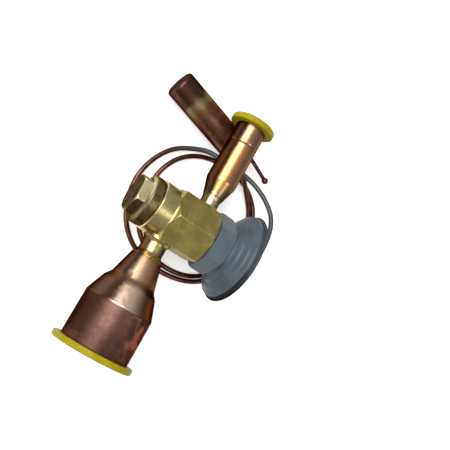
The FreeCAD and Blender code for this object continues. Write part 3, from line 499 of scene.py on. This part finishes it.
def tube(name, line, radius, sides, material, body):
    """Round tube along a line of points in metres, carrying its distance along in mm."""
    normal = (line[1] - line[0]).orthogonal().normalized()
    verts, along, gone = [], [], 0.0
    for i, point in enumerate(line):
        way = (line[min(i + 1, len(line) - 1)] - line[max(i - 1, 0)]).normalized()
        normal = (normal - way*normal.dot(way)).normalized()
        side = way.cross(normal)
        if i:
            gone += (point - line[i - 1]).length*1000
        for k in range(sides):
            a = 2*math.pi*k/sides
            verts.append(point + (normal*math.cos(a) + side*math.sin(a))*radius)
            along.append(gone)
    faces = [(i*sides + k, i*sides + (k + 1) % sides, (i + 1)*sides + (k + 1) % sides, (i + 1)*sides + k)
             for i in range(len(line) - 1) for k in range(sides)]
    faces.append(tuple(reversed(range(sides))))
    faces.append(tuple(range(len(verts) - sides, len(verts))))
    return mesh_piece(name, verts, faces, material, body, along=along)


def spline_points(points, resolution):
    """Points of a smooth spline of order 3 that has these as its control points."""
    curve = bpy.data.curves.new("route", "CURVE")
    curve.dimensions = "3D"
    curve.resolution_u = resolution
    spline = curve.splines.new("NURBS")
    spline.points.add(len(points) - 1)
    for target, point in zip(spline.points, points):
        target.co = (*point, 1)
    spline.order_u = 3
    spline.use_endpoint_u = True
    carrier = bpy.data.objects.new("route", curve)
    bpy.context.scene.collection.objects.link(carrier)
    line = bpy.data.meshes.new_from_object(carrier)
    found = [v.co.copy() for v in line.vertices]
    bpy.data.objects.remove(carrier)
    bpy.data.meshes.remove(line)
    return found


# The capillary's way, in mm: out of the dome and down to the bench
ROUTE = [
    (0.0, 39.1, 21.9), (0.0, 43.4, 21.9), (0.0, 46.1, 21.9), (-13.0, 47.7, 21.7), (-26.0, 46.3, 18.8),
    (-34.0, 38.7, 14.5), (-38.6, 28.1, 10.1), (-38.7, 16.3, 6.1), (-40.2, 8.0, 2.8),
    # first turn on the bench
    (-37.9, 1.4, 1.2), (-31.9, -8.4, 1.2), (-21.9, -14.6, 1.2), (-10.3, -17.1, 1.2), (1.4, -15.0, 1.2),
    (11.7, -9.1, 1.2), (18.5, 0.4, 1.2), (20.9, 11.4, 1.2), (20.6, 22.2, 1.2), (17.8, 32.6, 1.2),
    (11.2, 41.4, 1.2), (1.7, 46.8, 1.2), (-9.0, 48.6, 1.2), (-19.7, 47.6, 1.2), (-29.8, 43.0, 1.2),
    (-36.6, 34.4, 1.2), (-39.1, 24.0, 1.2), (-38.7, 13.8, 1.2),
    # second turn, inside it
    (-35.9, 4.2, 1.2), (-29.7, -3.7, 1.2), (-21.0, -8.3, 1.2), (-11.6, -9.5, 1.2), (-2.1, -9.0, 1.2),
    (6.9, -5.4, 1.2), (13.9, 1.6, 1.2), (17.5, 10.7, 1.2), (18.1, 20.4, 1.2), (16.0, 30.1, 1.2),
    (10.4, 38.4, 1.2), (2.0, 43.9, 1.2), (-7.7, 45.9, 1.2), (-17.5, 45.3, 1.2), (-26.9, 41.7, 1.2),
    # over the turns and into the bulb
    (-32.9, 35.4, 2.6), (-38.6, 28.4, 4.9), (-42.6, 23.1, 7.1), (-44.8, 13.4, 7.1)]
CAPILLARY_R = 0.0012  # metres
RING_STEPS = 96
RING_WANDER = 0.18  # mm
RING_BORE_PLAY = 0.05
ARC_STEPS = 7


def fillet_ring(name, origin, way, small, large, reach, material):
    """Fillet of braze between a rod and the face that it enters, its face at the origin, sizes in mm."""
    profile = []
    for k in range(ARC_STEPS + 1):
        t = math.pi/2*k/ARC_STEPS
        profile.append((-reach + reach*math.sin(t), small + (large - small)*(1 - math.cos(t))))
    profile += [(0.0, small - RING_BORE_PLAY), (-reach, small - RING_BORE_PLAY)]
    first = way.orthogonal().normalized()
    second = way.cross(first)
    count = len(profile)
    verts = []
    for i in range(RING_STEPS):
        a = 2*math.pi*i/RING_STEPS
        out = first*math.cos(a) + second*math.sin(a)
        wander = noise.noise(out*1.7 + origin*500)*RING_WANDER
        for k, (along, radius) in enumerate(profile):
            # the corners on the rod stay, and the others wander with the braze
            r = radius + (wander*0.5 if 0 < k < count - 1 else 0)
            s = along + (wander if k < count - 1 else 0)
            verts.append(origin + way*(s/1000) + out*(r/1000))
    faces = [(i*count + k, i*count + (k + 1) % count, ((i + 1) % RING_STEPS)*count + (k + 1) % count,
              ((i + 1) % RING_STEPS)*count + k) for i in range(RING_STEPS) for k in range(count)]
    ring = mesh_piece(name, verts, faces, material, "valve")


def floor():
    """Pale bench that shows white to the camera and in reflections, and keeps its shadow."""
    r = FLOOR_REACH
    mesh = bpy.data.meshes.new("floor")
    mesh.from_pydata([(-r, -r, 0), (r, -r, 0), (r, r, 0), (-r, r, 0)], [], [(0, 1, 2, 3)])
    f = Finish("floor_white", Specular_IOR_Level=0.1, Emission_Color=(1, 1, 1, 1))
    seen = f.add("ShaderNodeLightPath")
    rays = f.math("MAXIMUM", seen.outputs["Is Camera Ray"],
                  f.math("MAXIMUM", seen.outputs["Is Glossy Ray"], seen.outputs["Is Transmission Ray"]))
    f.looks((0.83, 0.83, 0.825), 0.8)
    f.put(f.shader.inputs["Emission Strength"], f.times(rays, FLOOR_GLOW))
    mesh.materials.append(f.material)
    ground = bpy.data.objects.new("floor", mesh)
    bpy.context.scene.collection.objects.link(ground)
    ground.location.z = -0.00005


def lamp(name, way, width, height, power):
    data = bpy.data.lights.new(name, "AREA")
    data.shape = "RECTANGLE"
    data.size, data.size_y, data.energy = width, height, power
    piece = bpy.data.objects.new(name, data)
    bpy.context.scene.collection.objects.link(piece)
    way = Vector(way).normalized()
    piece.location = LAMP_AIM + way*LAMP_DISTANCE
    piece.rotation_mode = "QUATERNION"
    piece.rotation_quaternion = way.to_track_quat("Z", "Y")


aim_camera()
bpy.context.scene.view_settings.view_transform = "Standard"

paint = grey_paint("grey_paint", 0.35)
for material, wearers in [
        (brass_body(), ["valve_body"]),
        (brass_cap(), ["seal_cap"]),
        (neck_brass(), ["outlet_nipple", "inlet_nipple"]),
        (outlet_copper(), ["outlet_reducer"]),
        (inlet_copper(), ["inlet_tube"]),
        (bulb_copper(), ["bulb_shell"]),
        (plain_copper("end_copper", (0.085, 0.038, 0.024), (0.15, 0.072, 0.048)),
         ["bulb_end_plug", "fill_tube"]),
        (plain_copper("gasket_copper", (0.20, 0.10, 0.05), (0.30, 0.16, 0.09), 0.38),
         ["cap_gasket", "element_gasket"]),
        (paint, ["element_collar", "element_lower_cover", "capillary_boss"]),
        (grey_paint("rim_paint", 0.04), ["element_upper_cover"]),
        (yellow_plastic(), ["outlet_dust_plug", "inlet_dust_plug"]),
        (machined("turned_brass", (0.55, 0.43, 0.17), (0.68, 0.55, 0.25), 0.28),
         ["stem_gland", "spring_seat", "valve_seat"]),
        (machined("stem_steel", (0.42, 0.42, 0.41), (0.55, 0.55, 0.54), 0.3, (-8.5, -3.2, 0.8)),
         ["adjusting_stem"]),
        (machined("turned_steel", (0.45, 0.45, 0.44), (0.6, 0.6, 0.59), 0.28),
         ["pin_carrier", "valve_pin", "push_rod_upper", "push_rod_lower", "buffer_plate",
          "superheat_spring", "diaphragm", "inlet_strainer"]),
        (soft_rubber(), ["stem_o_ring"])]:
    for node in wearers:
        nodes[node].data.materials.clear()
        nodes[node].data.materials.append(material)

route_line = spline_points([at(*p) for p in ROUTE], 10)
capillary = tube("capillary", route_line, CAPILLARY_R, 20, capillary_finish(), "valve")
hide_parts("capillary_tube")

braze = plain_copper("braze_metal", (0.55, 0.40, 0.20), (0.68, 0.54, 0.31), 0.3)
dull_braze = plain_copper("dull_braze", (0.30, 0.20, 0.12), (0.45, 0.33, 0.2), 0.38)
seam_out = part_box("outlet_reducer")[0].x*1000 - OX
seam_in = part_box("inlet_tube")[1].x*1000 - OX
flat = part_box("valve_body")[1].x*1000 - OX
boss_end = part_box("capillary_boss")[1].y*1000 - OY
plug_face = BULB_END + BULB_WAY*0.6
aside = Vector((BULB_WAY.y, -BULB_WAY.x, 0))*3.0
for name, place, way, small, large, reach, material, slot in [
        ("outlet_braze", (seam_out, 0, AXIS_Z), X, 5.5, 6.9, 1.4, braze, "brass_neck"),
        ("inlet_braze", (seam_in, INLET_Y, AXIS_Z), -X, 4.3, 4.9, 0.9, braze, "brass_neck"),
        ("outlet_body_braze", (flat, 0, AXIS_Z), -X, 5.5, 6.2, 0.6, dull_braze, "brass_neck"),
        ("inlet_body_braze", (-flat, INLET_Y, AXIS_Z), X, 4.3, 4.9, 0.6, dull_braze, "brass_neck"),
        ("boss_dab", (0, boss_end, AXIS_Z), -Y, 1.15, 1.7, 0.8, paint, "capillary_copper"),
        ("capillary_dab", plug_face + aside, -BULB_WAY, 1.15, 2.0, 0.9, dull_braze, "capillary_copper"),
        ("fill_tube_dab", plug_face - aside, -BULB_WAY, 0.9, 1.7, 0.8, dull_braze, "capillary_copper")]:
    fillet_ring(name, at(*place), way, small, large, reach, material)

floor()
for settings in LAMPS:
    lamp(*settings)
world = bpy.data.worlds.new("studio")
world.use_nodes = True
world.node_tree.nodes["Background"].inputs[0].default_value = (1, 1, 1, 1)
world.node_tree.nodes["Background"].inputs[1].default_value = WORLD_LIGHT
bpy.context.scene.world = world
